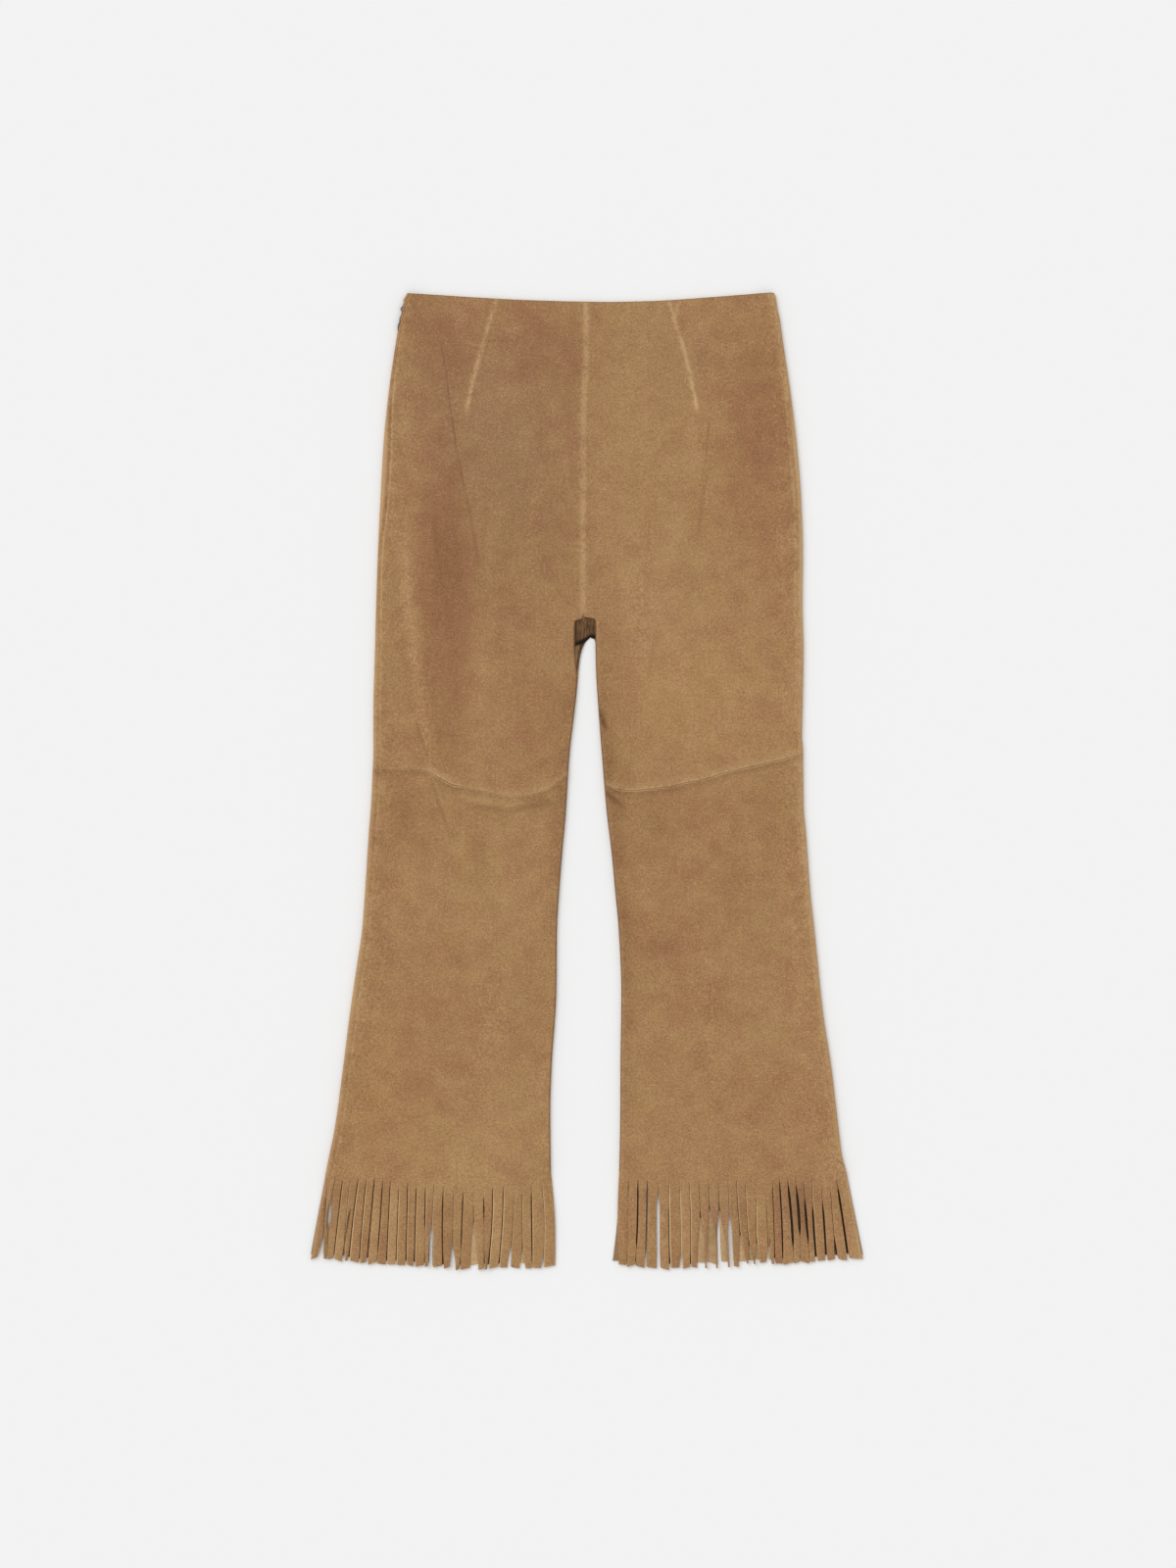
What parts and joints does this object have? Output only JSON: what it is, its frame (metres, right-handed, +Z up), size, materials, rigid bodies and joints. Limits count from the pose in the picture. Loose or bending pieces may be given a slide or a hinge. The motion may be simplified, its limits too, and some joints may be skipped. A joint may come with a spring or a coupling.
{
  "type": "fringed trousers",
  "caption": "Cropped, flared suede trousers with darts, knee seams, a concealed side zip and a long fringe cut at both hems, laid flat.",
  "frame": {"origin": "middle of the garment's footprint, on the surface it lies on", "axes": "+X to the wearer's left, across the garment; +Y from the fringe to the waist; +Z up from the surface, out of the front"},
  "size_m": [0.536, 0.9578, 0.0053],
  "materials": {
    "suede": "napped split suede, camel brown, matte",
    "suede_fringe": "cut suede strips, napped on one side, paler flesh side",
    "zip_tape": "woven polyester tape, grey violet"
  },
  "bodies": {
    "root": {"front_right_upper": "suede", "front_right_lower": "suede", "back_right_upper": "suede", "back_right_lower": "suede", "fringe_front_right": "suede_fringe", "fringe_back_right": "suede_fringe", "front_left_upper": "suede", "front_left_lower": "suede", "back_left_upper": "suede", "back_left_lower": "suede", "fringe_front_left": "suede_fringe", "fringe_back_left": "suede_fringe", "side_zip": "zip_tape"}
  },
  "joints": []
}
